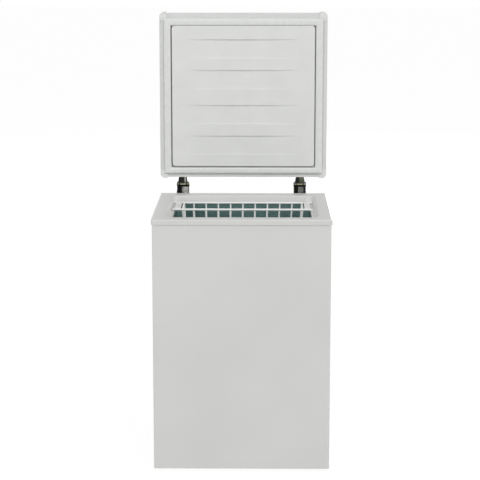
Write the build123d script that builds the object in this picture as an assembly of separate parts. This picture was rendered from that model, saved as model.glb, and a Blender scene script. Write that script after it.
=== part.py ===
from build123d import *
import os

# Small chest freezer with its lid standing open, in millimetres.
# +X is the user's right, +Y the rear, +Z up. The origin is on the floor,
# in the middle of the box that holds the cabinet and the open lid.

# Cabinet
CABINET_WIDTH = 555
RIM_HEIGHT = 812
FOOT_HEIGHT = 12
SHEET = 0.8
SHELL_CORNER = 8
SHELL_FLANGE = 12
BASE_SHEET = 1.2
FLOOR_FOAM = 55
STEP_FOAM = 50
FOAM_CORNER = 10

# Compressor space under the step
MACHINE_DEPTH = 185
MACHINE_HEIGHT = 220
PANEL_LIP = 25

# Collar round the mouth
COLLAR_DEPTH = 548
COLLAR_OVERHANG = 3
COLLAR_WALL = 3
COLLAR_SKIRT = 17
COLLAR_FRONT_CORNER = 11
COLLAR_REAR_CORNER = 4
COLLAR_EDGE = 4
RIM_SIDE_WIDTH = 58.5
RIM_FRONT_WIDTH = 55
RIM_REAR_WIDTH = 66
MOUTH_CORNER = 20
LEDGE_WIDTH = 9
LEDGE_DROP = 18
FUNNEL_SIDE = 9
FUNNEL_FRONT = 4
FUNNEL_EDGE = 5
INNER_SKIRT = 9

# Liner and refrigerant coils
LINER_SHEET = 1
LINER_FIT = 0.3
COIL_RADIUS = 3
COIL_GAP = 0.15
COIL_POCKET = 7
COIL_PITCH = 60
COIL_TURNS = 6
COIL_TOP = 90
COIL_REAR_SETBACK = 60
CONDENSER_BEND = 28

# Drain
DRAIN_SETBACK = 70
DRAIN_TUBE_RADIUS = 9
DRAIN_BORE = 7
DRAIN_FIT = 0.2
DRAIN_RISE = 22
DRAIN_BEND = 16
DRAIN_FLANGE = 14
DRAIN_FLANGE_SHEET = 2
DRAIN_PLUG_LENGTH = 16
DRAIN_HEAD_RADIUS = 14
DRAIN_HEAD_HEIGHT = 5

# Feet
FOOT_RADIUS = 21
FOOT_INSET = 60

# Lid
LID_HEIGHT = 52
LID_SIDE_OVERHANG = 5.5
LID_REAR_OVERHANG = 7
LID_EDGE = 9
LID_FLANGE = 13
LID_LINER_SHEET = 2
CAP_SIZE = 25
CAP_PROUD = 3.4
CAP_DROP = 2.5
CAP_CORNER = 15
GASKET_HEIGHT = 10.6
GASKET_WIDTH = 23
GASKET_SIDE = 14.5
GASKET_FRONT = 17
GASKET_REAR = 12
GASKET_NECK = 2
GASKET_NECK_HEIGHT = 2.8
GASKET_EDGE = 3
LAND_GAP = 0.4
FIELD_DEPTH = 8
FIELD_BACK = 6
FIELD_SIDE = 41.7
FIELD_FRONT = 42
FIELD_REAR = 37.3
FIELD_CORNER = 10
FIELD_EDGE = 3
TROUGH_WIDTH = 4
TROUGH_DEPTH = 9
SCOOP_PARTS = (0.215, 0.4005, 0.614, 0.8015)
SCOOP_LENGTH = 64
SCOOP_SIDE = 46
SCOOP_DEPTH = 4.4

# Hinges
HINGE_LEFT_INSET = 71
HINGE_RIGHT_INSET = 84.5
HINGE_WIDTH = 41
HINGE_SHEET = 2.5
HINGE_REACH = 28
PIVOT_RISE = 24
HINGE_DROP = 60
HINGE_FOOT = 15
HINGE_EYE = 10
HINGE_BACK = 10
ARM_WIDTH = 27
ARM_FLARE = 35
ARM_EYE = 8
ARM_WEB_BELOW = 11
ARM_WEB_GAP = 7
ARM_TAB_ABOVE = 26
PIN_RADIUS = 4
PIN_FIT = 0.1
PIN_HEAD = 6
PIN_HEAD_LENGTH = 1.2
SPACER_RADIUS = 6
SPACER_GAP = 0.3
SPRING_WIRE = 2.5
SPRING_MEAN = 5.6
SPRING_TURNS = 8
SPRING_PITCH = 2.4
SPRING_PLATE_SHEET = 1.5
SPRING_PLATE_DROP = 9
SPRING_PLATE_LEFT = 5

# Screws
SCREW_RADIUS = 2
SCREW_LENGTH = 14
SCREW_HEAD = 4.2
SCREW_HEAD_HEIGHT = 2.4
SCREW_FIT = 0.1
RECESS_LENGTH = 4.4
RECESS_WIDTH = 1.1
RECESS_DEPTH = 1.3

# Basket
BASKET_REAR_GAP = 60
BASKET_SIDE_GAP = 26.5
BASKET_LENGTH = 142
BASKET_HEIGHT = 160
BASKET_TAPER = 10
BASKET_GAP = 0.3
FRAME_WIRE = 3.6
FRAME_REACH = 6
SIDE_WIRE = 2.5
GRILLE_WIRE = 2.3
CROSS_WIRE = 2.2
WELD_SINK = 0.6
WIRE_PITCH = 41
FRONT_NARROWING = 0.9725
SIDE_WIRES = 3
HOOPS = 3
GRIP_WIDTH = 19
GRIP_SIDE_GAP = 4.5
GRIP_HEIGHT = 6
GRIP_FIT = 0.2

# Compressor and its plate
COMPRESSOR_X = -70
COMPRESSOR_LENGTH = 180
COMPRESSOR_WIDTH = 140
COMPRESSOR_HEIGHT = 150
COMPRESSOR_DOME = 40
COMPRESSOR_SEAM = 4
PLATE_LENGTH = 230
PLATE_WIDTH = 120
PLATE_SHEET = 3
GROMMET_RADIUS = 11
GROMMET_HEIGHT = 12
GROMMET_INSET = 18
BOLT_RADIUS = 3.9
BOLT_HEAD = 8
BOLT_HEAD_HEIGHT = 4
RELAY_SIZE = 46
RELAY_SINK = 12

# Pipes in the compressor space
LINE_RADIUS = 3
SUCTION_RADIUS = 4
CAPILLARY_RADIUS = 1.2
LINE_BEND = 15
DRIER_X = 150
DRIER_RADIUS = 9
DRIER_LENGTH = 110
DRIER_BASE = 80
DRIER_FROM_REAR = 60
LINE_DROP = 25
SUCTION_HEIGHT = 120

# Vent cover
COVER_SHEET = 1.2
COVER_OVERLAP = 16
COVER_GAP = 1
LOUVRE_MARGIN = 19.5
LOUVRE_BRIDGE = 22
LOUVRE_HEIGHT = 5
LOUVRE_PITCH = 16
LOUVRE_ROWS = 8
LOUVRE_COLUMNS = 3
LOUVRE_PROUD = 4
LOUVRE_BASE = 50
GLAND_INSET = 32.5
GLAND_RISE = 22
GLAND_RADIUS = 7
GLAND_RIM = 10
GLAND_BORE = 4
GLAND_LENGTH = 12

# Controls on the right side
CONTROL_FROM_REAR = 95
CONTROL_RISE = 116
CONTROL_LENGTH = 130
CONTROL_HEIGHT = 80
CONTROL_RIM = 6
CONTROL_DEPTH = 12
CONTROL_WALL = 2
CONTROL_CORNER = 10
KNOB_OFFSET = 32
KNOB_RADIUS = 20
KNOB_HEIGHT = 13
KNOB_GAP = 0.4
SHAFT_RADIUS = 3
SHAFT_FIT = 0.1
THERMOSTAT_SIZE = 40
LENS_RADIUS = 4.5
LENS_HEIGHT = 2.5
LENS_PITCH = 20
LENS_OFFSET = 22
LEAD_RADIUS = 3.5
LEAD_BEND = 15
LEAD_FLOOR = 45

# Places worked out from the sizes above
CABINET_HALF = CABINET_WIDTH / 2
LID_FLANGE_Z = RIM_HEIGHT + LAND_GAP + GASKET_HEIGHT - SHEET
LID_TOP_Z = LID_FLANGE_Z + LID_HEIGHT
PIVOT_Z = RIM_HEIGHT + PIVOT_RISE
PIVOT_BACK = LID_REAR_OVERHANG + HINGE_REACH
OPEN_REACH = PIVOT_BACK + LID_TOP_Z - PIVOT_Z
REAR = (COLLAR_DEPTH + OPEN_REACH) / 2 - OPEN_REACH
RIM_FRONT = REAR - COLLAR_DEPTH
FRONT = RIM_FRONT + COLLAR_OVERHANG
PIVOT_Y = REAR + PIVOT_BACK
SHELL_TOP = RIM_HEIGHT - COLLAR_WALL
SHELL_IN = CABINET_HALF - SHEET
FRONT_IN = FRONT + SHEET
REAR_IN = REAR - SHEET
BASE_Z = FOOT_HEIGHT + SHEET
FLOOR_Z = BASE_Z + BASE_SHEET
MACHINE_TOP = FLOOR_Z + MACHINE_HEIGHT
MACHINE_FRONT = REAR - MACHINE_DEPTH
LEDGE_Z = RIM_HEIGHT - LEDGE_DROP
FUNNEL_Z = LEDGE_Z - COLLAR_WALL
MOUTH_HALF = CABINET_HALF + COLLAR_OVERHANG - RIM_SIDE_WIDTH
MOUTH_MIN = RIM_FRONT + RIM_FRONT_WIDTH
MOUTH_MAX = REAR - RIM_REAR_WIDTH
LEDGE_HALF = MOUTH_HALF + LEDGE_WIDTH
FUNNEL_HALF = LEDGE_HALF + FUNNEL_SIDE
LINER_HALF = MOUTH_HALF + COLLAR_WALL + LINER_FIT
LINER_MIN = MOUTH_MIN - COLLAR_WALL - LINER_FIT
LINER_MAX = MOUTH_MAX + COLLAR_WALL + LINER_FIT
LINER_CORNER = MOUTH_CORNER + COLLAR_WALL + LINER_FIT
LINER_FLOOR = FLOOR_Z + FLOOR_FOAM + LINER_SHEET
STEP_Z = MACHINE_TOP + SHEET + STEP_FOAM + LINER_SHEET
STEP_Y = MACHINE_FRONT - SHEET - STEP_FOAM - LINER_SHEET
COIL_Z = RIM_HEIGHT - COIL_TOP
COIL_LOW = COIL_Z - COIL_PITCH * (COIL_TURNS - 1)
COIL_OFF = COIL_GAP + COIL_RADIUS
DRAIN_Y = LINER_MIN + DRAIN_SETBACK
DRAIN_Z = FLOOR_Z + DRAIN_RISE
LID_HALF = CABINET_HALF + LID_SIDE_OVERHANG
LID_REAR = REAR + LID_REAR_OVERHANG
LID_FRONT = RIM_FRONT
LID_LENGTH = LID_REAR - LID_FRONT
LINER_SEAT = LID_FLANGE_Z + SHEET
LINER_CREST = LINER_SEAT + TROUGH_DEPTH + LID_LINER_SHEET
FIELD_Z = LID_FLANGE_Z - FIELD_DEPTH
SCOOP_CHORD = 2 * (LID_HALF - FIELD_SIDE - SCOOP_SIDE)
HINGE_PLACES = (HINGE_LEFT_INSET - CABINET_HALF, CABINET_HALF - HINGE_RIGHT_INSET)
HINGE_WEB = PIVOT_Y + HINGE_BACK
FRAME_Z = LEDGE_Z + BASKET_GAP + FRAME_WIRE
BASKET_MAX = MOUTH_MAX - BASKET_REAR_GAP
BASKET_MIN = BASKET_MAX - BASKET_LENGTH
BASKET_HALF = MOUTH_HALF - BASKET_SIDE_GAP
FRAME_HALF = MOUTH_HALF + FRAME_REACH
BASKET_LOW = FRAME_Z - BASKET_HEIGHT
COMPRESSOR_Y = REAR - MACHINE_DEPTH / 2
PLATE_Z = FLOOR_Z + GROMMET_HEIGHT
CAN_Z = PLATE_Z + PLATE_SHEET
CAN_TOP = CAN_Z + COMPRESSOR_HEIGHT
LINE_Z = MACHINE_TOP - LINE_DROP
DRIER_Y = REAR - DRIER_FROM_REAR
COVER_TOP = MACHINE_TOP - PANEL_LIP + COVER_OVERLAP
LOUVRE_SPACING = (CABINET_WIDTH - 2 * LOUVRE_MARGIN) / LOUVRE_COLUMNS
LOUVRE_WIDTH = LOUVRE_SPACING - LOUVRE_BRIDGE
GLAND_X = GLAND_INSET - CABINET_HALF
CONTROL_Y = REAR - CONTROL_FROM_REAR
CONTROL_Z = FLOOR_Z + CONTROL_RISE
CONTROL_FACE = CABINET_HALF - CONTROL_DEPTH + CONTROL_WALL
CONTROL_BACK = CABINET_HALF - CONTROL_DEPTH
KNOB_Y = CONTROL_Y - KNOB_OFFSET
LENS_Y = CONTROL_Y + LENS_OFFSET


def block(x0, x1, y0, y1, z0, z1):
    """Box between two corners."""
    middle = Pos((x0 + x1) / 2, (y0 + y1) / 2, (z0 + z1) / 2)
    return middle * Box(x1 - x0, y1 - y0, z1 - z0)


def upright(half, y0, y1, z0, z1, front_corner, rear_corner):
    """Block centred on X with its vertical edges rounded."""
    body = block(-half, half, y0, y1, z0, z1)
    body = fillet(body.edges().filter_by(Axis.Z).group_by(Axis.Y)[0], front_corner)
    return fillet(body.edges().filter_by(Axis.Z).group_by(Axis.Y)[-1], rear_corner)


def rod(start, end, radius):
    """Round bar between two points."""
    path = Line(start, end)
    return extrude(Plane(path @ 0, z_dir=path % 0) * Circle(radius), path.length)


def pipe(points, radius, bend):
    """Round tube, drawn solid, along straight runs and tangent bends."""
    path = FilletPolyline(*points, radius=bend)
    return sweep(Plane(path @ 0, z_dir=path % 0) * Circle(radius), path=path)


def plate(points, x0, x1):
    """Flat plate between two X planes with an outline of (y, z) points."""
    outline = Plane.YZ.offset(x0) * make_face(Polyline(*points, close=True))
    return extrude(outline, x1 - x0)


def merge(pieces):
    """One solid from touching pieces."""
    return pieces[0].fuse(*pieces[1:]) if len(pieces) > 1 else pieces[0]


def screw(head_at, direction):
    """Pan-head screw with a cross recess, its head at a point and its shank along a direction."""
    place = Plane(head_at, z_dir=direction)
    shank = extrude(place * Circle(SCREW_RADIUS), SCREW_LENGTH)
    head = extrude(place * Circle(SCREW_HEAD), -SCREW_HEAD_HEIGHT)
    head = fillet(head.edges().sort_by(lambda e: (e.center() - Vector(head_at)).length)[-1], 1)
    crown = place.offset(-SCREW_HEAD_HEIGHT)
    for length, width in ((RECESS_LENGTH, RECESS_WIDTH), (RECESS_WIDTH, RECESS_LENGTH)):
        head -= extrude(crown * Rectangle(length, width), RECESS_DEPTH)
    return shank + head


def screw_hole(head_at, direction):
    """Clearance for one screw's shank."""
    place = Plane(head_at, z_dir=direction)
    return extrude(place * Circle(SCREW_RADIUS + SCREW_FIT), SCREW_LENGTH + SCREW_FIT)


def opened(body):
    """Turns a piece of the closed lid about the hinge pins to where it stands open."""
    return body.rotate(Axis((0, PIVOT_Y, PIVOT_Z), (1, 0, 0)), -90)


def hinge_screw_places():
    """Heads of the screws that hold both hinge bodies to the rear panel."""
    y = REAR + HINGE_SHEET
    side = HINGE_WIDTH / 2 + HINGE_FOOT / 2
    levels = (RIM_HEIGHT - 0.8 * HINGE_DROP, RIM_HEIGHT - 0.4 * HINGE_DROP)
    return [(x + s, y, z) for x in HINGE_PLACES for s in (-side, side) for z in levels]


def lid_screw_places():
    """Heads of the screws that hold both hinge arms to the closed lid's rear face."""
    y = LID_REAR + HINGE_SHEET
    levels = (PIVOT_Z, PIVOT_Z + 0.7 * ARM_TAB_ABOVE)
    return [(x, y, z) for x in HINGE_PLACES for z in levels]


def cover_screw_places():
    """Heads of the screws along the top and bottom of the vent cover."""
    y = REAR + COVER_SHEET
    side = CABINET_HALF - 40
    low = FLOOR_Z + COVER_OVERLAP / 2
    high = COVER_TOP - COVER_OVERLAP / 2
    return [(x, y, z) for z in (low, high) for x in (-side, 0, side)]


def control_outline(grow, x0, x1):
    """Rounded block of the control panel's outline, grown by a margin."""
    face = Plane.YZ.offset(x0) * Pos(CONTROL_Y, CONTROL_Z) * RectangleRounded(
        CONTROL_LENGTH + 2 * grow, CONTROL_HEIGHT + 2 * grow, CONTROL_CORNER + grow
    )
    return extrude(face, x1 - x0)


def drain_way(radius):
    """Round run of the drain: down from the liner's floor, then out through the left side."""
    outlet = -CABINET_HALF - 2 * DRAIN_FLANGE_SHEET
    points = [(0, DRAIN_Y, LINER_FLOOR), (0, DRAIN_Y, DRAIN_Z), (outlet, DRAIN_Y, DRAIN_Z)]
    return pipe(points, radius, DRAIN_BEND)


def cabinet_shell():
    """Front and sides bent from one sheet, with a flange along the bottom."""
    outer = upright(CABINET_HALF, FRONT, REAR, FOOT_HEIGHT, SHELL_TOP, SHELL_CORNER, SHEET / 2)
    bend = SHELL_CORNER - SHEET
    inner = upright(SHELL_IN, FRONT_IN, REAR + 1, BASE_Z, SHELL_TOP + 1, bend, SHEET / 4)
    hole = CABINET_HALF - SHELL_FLANGE
    under = block(-hole, hole, FRONT + SHELL_FLANGE, REAR + 1, FOOT_HEIGHT - 1, BASE_Z)
    shell = outer - inner - under - control_outline(0, CABINET_HALF - 2, CABINET_HALF + 1)
    return shell - drain_way(DRAIN_TUBE_RADIUS + SCREW_FIT)


def rear_panel():
    """Back sheet between the wrap's edges, with two raised fields."""
    low = MACHINE_TOP - PANEL_LIP
    sheet = block(-SHELL_IN, SHELL_IN, REAR_IN, REAR, low, SHELL_TOP)
    middle = (MACHINE_TOP + RIM_HEIGHT - HINGE_DROP) / 2
    margin = 2 * PANEL_LIP
    lower = (MACHINE_TOP + margin, middle - margin / 2)
    upper = (middle + margin / 2, RIM_HEIGHT - 2 * HINGE_DROP)
    for z0, z1 in (lower, upper):
        face = Plane.XZ.offset(-REAR) * Pos(0, (z0 + z1) / 2) * RectangleRounded(
            CABINET_WIDTH - 2 * margin, z1 - z0, FOAM_CORNER
        )
        sheet += extrude(face, -1.5 * SHEET, taper=30)
    for place in hinge_screw_places():
        sheet -= screw_hole(place, (0, -1, 0))
    for place in cover_screw_places()[3:]:
        sheet -= screw_hole(place, (0, -1, 0))
    return sheet


def base_plate():
    """Floor sheet on the wrap's flange, turned up along the rear for the vent cover."""
    sheet = block(-SHELL_IN, SHELL_IN, FRONT_IN, REAR, BASE_Z, FLOOR_Z)
    corners = sheet.edges().filter_by(Axis.Z).group_by(Axis.Y)[0]
    sheet = fillet(corners, SHELL_CORNER)
    turn_up = block(-SHELL_IN, SHELL_IN, REAR - BASE_SHEET, REAR, BASE_Z, FLOOR_Z + COVER_OVERLAP)
    sheet += turn_up
    for place in cover_screw_places()[:3]:
        sheet -= screw_hole(place, (0, -1, 0))
    for x, y in grommet_places():
        sheet -= rod((x, y, BASE_Z - 1), (x, y, FLOOR_Z + 1), BOLT_RADIUS + SCREW_FIT)
    return sheet


def machine_bulkhead():
    """Bent sheet that walls the compressor space off from the foam."""
    wall = block(-SHELL_IN, SHELL_IN, MACHINE_FRONT - SHEET, MACHINE_FRONT, FLOOR_Z, MACHINE_TOP)
    roof = block(-SHELL_IN, SHELL_IN, MACHINE_FRONT - SHEET, REAR_IN, MACHINE_TOP, MACHINE_TOP + SHEET)
    return wall + roof


def tub(skin, top):
    """The liner's space with its step, grown all round by a skin."""
    corner = LINER_CORNER + skin
    half = LINER_HALF + skin
    low = LINER_FLOOR - skin
    step = STEP_Z - skin
    back = STEP_Y + skin
    upper = upright(half, LINER_MIN - skin, LINER_MAX + skin, step, top, corner, corner)
    lower = upright(half, LINER_MIN - skin, back, low, step, corner, corner)
    return upper + lower


def cabinet_foam():
    """Insulation foamed in place, with room for the two coils."""
    foam = upright(SHELL_IN, FRONT_IN, REAR_IN, FLOOR_Z, SHELL_TOP, FOAM_CORNER, SHEET)
    foam -= block(-SHELL_IN, SHELL_IN, MACHINE_FRONT - SHEET, REAR, FLOOR_Z, MACHINE_TOP + SHEET)
    foam -= tub(LINER_SHEET, SHELL_TOP + 1)
    half = FUNNEL_HALF + COLLAR_WALL
    front = MOUTH_MIN - FUNNEL_FRONT - 2 * COLLAR_WALL
    back = MOUTH_MAX + FUNNEL_FRONT + 2 * COLLAR_WALL
    foam -= block(-half, half, front, back, FUNNEL_Z, SHELL_TOP + 1)
    low = COIL_LOW - 2 * COIL_POCKET
    high = COIL_Z + 2 * COIL_POCKET
    pocket = LINER_HALF + LINER_SHEET + COIL_POCKET
    front = LINER_MIN - LINER_SHEET - COIL_POCKET
    foam -= block(-pocket, pocket, front, LINER_MAX - COIL_REAR_SETBACK / 2, low, high)
    round_in = CONDENSER_BEND + COIL_OFF - COIL_POCKET
    core = upright(
        SHELL_IN - COIL_POCKET, FRONT_IN + COIL_POCKET, REAR_IN, low, high, round_in, SHEET
    )
    foam -= block(-SHELL_IN, SHELL_IN, FRONT_IN, REAR_IN - COIL_REAR_SETBACK / 2, low, high) - core
    foam -= drain_way(DRAIN_TUBE_RADIUS + SCREW_FIT)
    for place in hinge_screw_places():
        foam -= screw_hole(place, (0, -1, 0))
    return foam


def inner_liner():
    """Sheet tub with a drain hole in its floor."""
    liner = tub(LINER_SHEET, FUNNEL_Z) - tub(0, FUNNEL_Z + 1)
    hole = DRAIN_BORE + DRAIN_FIT
    return liner - rod((0, DRAIN_Y, LINER_FLOOR - 2), (0, DRAIN_Y, LINER_FLOOR + 2), hole)


def mouth_face(half, margin, corner, z):
    """Rounded outline of the mouth at one height."""
    length = MOUTH_MAX - MOUTH_MIN + 2 * margin
    return Pos(0, (MOUTH_MIN + MOUTH_MAX) / 2, z) * RectangleRounded(2 * half, length, corner)


def top_collar():
    """Plastic frame: gasket land, outer skirt, funnel, basket ledge and inner skirt."""
    half = CABINET_HALF + COLLAR_OVERHANG
    low = RIM_HEIGHT - COLLAR_SKIRT
    frame = upright(half, RIM_FRONT, REAR, low, RIM_HEIGHT, COLLAR_FRONT_CORNER, COLLAR_REAR_CORNER)
    frame = fillet(frame.faces().sort_by(Axis.Z)[-1].edges(), COLLAR_EDGE)
    inside = COLLAR_FRONT_CORNER - COLLAR_WALL
    under = upright(
        half - COLLAR_WALL, RIM_FRONT + COLLAR_WALL, REAR + 1, low - 1, SHELL_TOP, inside, SHEET
    )
    frame -= under
    funnel = mouth_face(FUNNEL_HALF + COLLAR_WALL, FUNNEL_FRONT + 2 * COLLAR_WALL, LINER_CORNER, FUNNEL_Z)
    frame += extrude(funnel, RIM_HEIGHT - COLLAR_WALL / 2 - FUNNEL_Z)
    low = LEDGE_Z - INNER_SKIRT
    skirt = mouth_face(MOUTH_HALF + COLLAR_WALL, COLLAR_WALL, MOUTH_CORNER + COLLAR_WALL, low)
    frame += extrude(skirt, INNER_SKIRT)
    wide = mouth_face(FUNNEL_HALF, FUNNEL_FRONT + 2, MOUTH_CORNER + LEDGE_WIDTH, RIM_HEIGHT)
    ledge = mouth_face(LEDGE_HALF, 2, MOUTH_CORNER + 2, LEDGE_Z)
    frame -= loft([ledge, wide])
    edge = MOUTH_MIN - FUNNEL_FRONT - COLLAR_WALL
    lip = frame.edges().filter_by(lambda e: abs(e.center().Z - RIM_HEIGHT) < 0.01)
    lip = lip.filter_by(lambda e: abs(e.center().X) < FUNNEL_HALF + 1 and e.center().Y > edge)
    lip = lip.filter_by(lambda e: e.center().Y < MOUTH_MAX + FUNNEL_FRONT + COLLAR_WALL)
    frame = fillet(lip, FUNNEL_EDGE)
    mouth = mouth_face(MOUTH_HALF, 0, MOUTH_CORNER, low - 1)
    return frame - extrude(mouth, INNER_SKIRT + 2)


def coil(half, front, rear, bend):
    """Tube that runs to and fro round the left, front and right walls."""
    points = []
    for turn in range(COIL_TURNS):
        z = COIL_Z - turn * COIL_PITCH
        run = [(-half, rear, z), (-half, front, z), (half, front, z), (half, rear, z)]
        points += run if turn % 2 == 0 else run[::-1]
    return pipe(points, COIL_RADIUS, bend)


def evaporator_coil():
    """Cold tube against the outside of the liner."""
    out = LINER_SHEET + COIL_OFF
    bend = LINER_CORNER + LINER_SHEET + COIL_OFF
    return coil(LINER_HALF + out, LINER_MIN - out, LINER_MAX - COIL_REAR_SETBACK, bend)


def condenser_coil():
    """Warm tube against the inside of the wrap."""
    return coil(SHELL_IN - COIL_OFF, FRONT_IN + COIL_OFF, REAR_IN - COIL_REAR_SETBACK, CONDENSER_BEND)


def drain_tube():
    """Pipe from the liner's floor through the foam to a flanged outlet low on the left side."""
    face = -CABINET_HALF - DRAIN_FLANGE_SHEET
    reach = DRAIN_FLANGE
    room = block(face, reach, DRAIN_Y - reach, DRAIN_Y + reach, FLOOR_Z, LINER_FLOOR - LINER_SHEET)
    tube = drain_way(DRAIN_TUBE_RADIUS) & room
    tube += rod((face, DRAIN_Y, DRAIN_Z), (-CABINET_HALF, DRAIN_Y, DRAIN_Z), DRAIN_FLANGE)
    return tube - drain_way(DRAIN_BORE)


def drain_plug():
    """Rubber plug with a pull knob, in the liner's floor."""
    seat = LINER_FLOOR + BASKET_GAP
    stem = rod((0, DRAIN_Y, seat - DRAIN_PLUG_LENGTH), (0, DRAIN_Y, seat), DRAIN_BORE - DRAIN_FIT)
    head = rod((0, DRAIN_Y, seat), (0, DRAIN_Y, seat + DRAIN_HEAD_HEIGHT), DRAIN_HEAD_RADIUS)
    head = fillet(head.edges().sort_by(Axis.Z)[-1], DRAIN_HEAD_HEIGHT / 3)
    top = seat + DRAIN_HEAD_HEIGHT
    knob = block(
        -DRAIN_HEAD_RADIUS / 2, DRAIN_HEAD_RADIUS / 2, DRAIN_Y - 2, DRAIN_Y + 2, top, top + DRAIN_BORE
    )
    return stem + head + knob


def feet():
    """Four moulded pads under the base."""
    pads = []
    for x in (-CABINET_HALF + FOOT_INSET, CABINET_HALF - FOOT_INSET):
        for y in (FRONT + FOOT_INSET, REAR - FOOT_INSET):
            pad = Pos(x, y, BASE_Z / 2) * Cylinder(FOOT_RADIUS, BASE_Z)
            pads.append(fillet(pad.edges().sort_by(Axis.Z)[0], 3))
    return Compound(children=pads)


def grommet_places():
    """Centres of the four rubber mounts, as (x, y)."""
    along = PLATE_LENGTH / 2 - GROMMET_INSET
    across = PLATE_WIDTH / 2 - GROMMET_INSET
    return [(COMPRESSOR_X + i * along, COMPRESSOR_Y + j * across) for i in (-1, 1) for j in (-1, 1)]


def compressor():
    """Sealed steel can, two domed halves on a welded seam."""
    place = Pos(COMPRESSOR_X, COMPRESSOR_Y, CAN_Z)
    can = extrude(place * Ellipse(COMPRESSOR_LENGTH / 2, COMPRESSOR_WIDTH / 2), COMPRESSOR_HEIGHT)
    can = fillet(can.edges().sort_by(Axis.Z)[-1], COMPRESSOR_DOME)
    can = fillet(can.edges().sort_by(Axis.Z)[0], COMPRESSOR_DOME / 2)
    seam = Pos(COMPRESSOR_X, COMPRESSOR_Y, CAN_Z + COMPRESSOR_HEIGHT / 2) * Ellipse(
        COMPRESSOR_LENGTH / 2 + COMPRESSOR_SEAM, COMPRESSOR_WIDTH / 2 + COMPRESSOR_SEAM
    )
    return can + extrude(seam, COMPRESSOR_SEAM)


def compressor_plate():
    """Foot plate under the can."""
    x0, y0 = COMPRESSOR_X - PLATE_LENGTH / 2, COMPRESSOR_Y - PLATE_WIDTH / 2
    sheet = block(x0, x0 + PLATE_LENGTH, y0, y0 + PLATE_WIDTH, PLATE_Z, CAN_Z)
    sheet = fillet(sheet.edges().filter_by(Axis.Z), GROMMET_INSET / 2)
    for x, y in grommet_places():
        sheet -= rod((x, y, PLATE_Z - 1), (x, y, CAN_Z + 1), BOLT_RADIUS + SCREW_FIT)
    return sheet


def compressor_grommets():
    """Four rubber mounts between the foot plate and the base."""
    bushes = []
    for x, y in grommet_places():
        bush = rod((x, y, FLOOR_Z), (x, y, PLATE_Z), GROMMET_RADIUS)
        bushes.append(bush - rod((x, y, BASE_Z), (x, y, CAN_Z), BOLT_RADIUS + SCREW_FIT))
    return Compound(children=bushes)


def compressor_bolts():
    """Four bolts through the mounts."""
    bolts = []
    for x, y in grommet_places():
        shank = rod((x, y, BASE_Z), (x, y, CAN_Z), BOLT_RADIUS)
        bolts.append(shank + rod((x, y, CAN_Z), (x, y, CAN_Z + BOLT_HEAD_HEIGHT), BOLT_HEAD))
    return Compound(children=bolts)


def relay_box(can):
    """Start relay and overload cover on the can's side."""
    x = COMPRESSOR_X + COMPRESSOR_LENGTH / 2 + COMPRESSOR_SEAM
    z = CAN_Z + COMPRESSOR_HEIGHT / 2
    side = RELAY_SIZE / 2
    y0, y1 = COMPRESSOR_Y - side, COMPRESSOR_Y + side
    cover = block(x - RELAY_SINK, x + RELAY_SIZE, y0, y1, z - side, z + side)
    return fillet(cover.edges().filter_by(Axis.X), 4) - can


def filter_drier():
    """Copper drier with necked ends."""
    top = DRIER_BASE + DRIER_LENGTH
    body = rod((DRIER_X, DRIER_Y, DRIER_BASE), (DRIER_X, DRIER_Y, top), DRIER_RADIUS)
    return chamfer(body.edges().filter_by(GeomType.CIRCLE), DRIER_RADIUS / 2)


def discharge_line(can):
    """Hot pipe from the can's crown into the foam."""
    x, y = COMPRESSOR_X, COMPRESSOR_Y
    points = [(x, y, CAN_TOP - LINE_BEND), (x, y, LINE_Z), (x, MACHINE_FRONT, LINE_Z)]
    return pipe(points, LINE_RADIUS, LINE_BEND) - can


def condenser_return_line():
    """Pipe back from the condenser to the drier."""
    top = DRIER_BASE + DRIER_LENGTH
    points = [(DRIER_X, MACHINE_FRONT, LINE_Z), (DRIER_X, DRIER_Y, LINE_Z), (DRIER_X, DRIER_Y, top)]
    return pipe(points, LINE_RADIUS, LINE_BEND)


def capillary_tube():
    """Thin tube from the drier to the evaporator."""
    low = DRIER_BASE - 2 * LINE_BEND
    points = [(DRIER_X, DRIER_Y, DRIER_BASE), (DRIER_X, DRIER_Y, low), (DRIER_X, MACHINE_FRONT, low)]
    return pipe(points, CAPILLARY_RADIUS, LINE_BEND)


def suction_line(can):
    """Cold pipe from the evaporator to the can's left side."""
    z = FLOOR_Z + SUCTION_HEIGHT
    left = COMPRESSOR_X - COMPRESSOR_LENGTH / 2
    out = left - 2 * LINE_BEND
    points = [(out, MACHINE_FRONT, z), (out, COMPRESSOR_Y, z), (left + LINE_BEND, COMPRESSOR_Y, z)]
    return pipe(points, SUCTION_RADIUS, LINE_BEND) - can


def rear_vent_cover():
    """Louvred sheet over the compressor space."""
    sheet = block(-SHELL_IN, SHELL_IN, REAR, REAR + COVER_SHEET, BASE_Z + COVER_GAP, COVER_TOP)
    for column in range(LOUVRE_COLUMNS):
        x = (column - (LOUVRE_COLUMNS - 1) / 2) * LOUVRE_SPACING
        x0, x1 = x - LOUVRE_WIDTH / 2, x + LOUVRE_WIDTH / 2
        for row in range(LOUVRE_ROWS):
            z = FLOOR_Z + LOUVRE_BASE + row * LOUVRE_PITCH
            y = REAR + COVER_SHEET
            lip, top = y + LOUVRE_PROUD, z + LOUVRE_HEIGHT
            hood = plate([(y, top), (lip, z), (lip, z - 1), (y, top - 1)], x0, x1)
            slot = block(x0, x1, REAR - 1, y + 1, z - 1, z + LOUVRE_HEIGHT - 2)
            sheet = (sheet - slot) + hood
    gland = (GLAND_X, REAR - 1, FLOOR_Z + COVER_OVERLAP + GLAND_RISE)
    sheet -= rod(gland, (GLAND_X, REAR + 2, gland[2]), GLAND_RADIUS + SCREW_FIT)
    for place in cover_screw_places():
        sheet -= screw_hole(place, (0, -1, 0))
    return sheet


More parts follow.
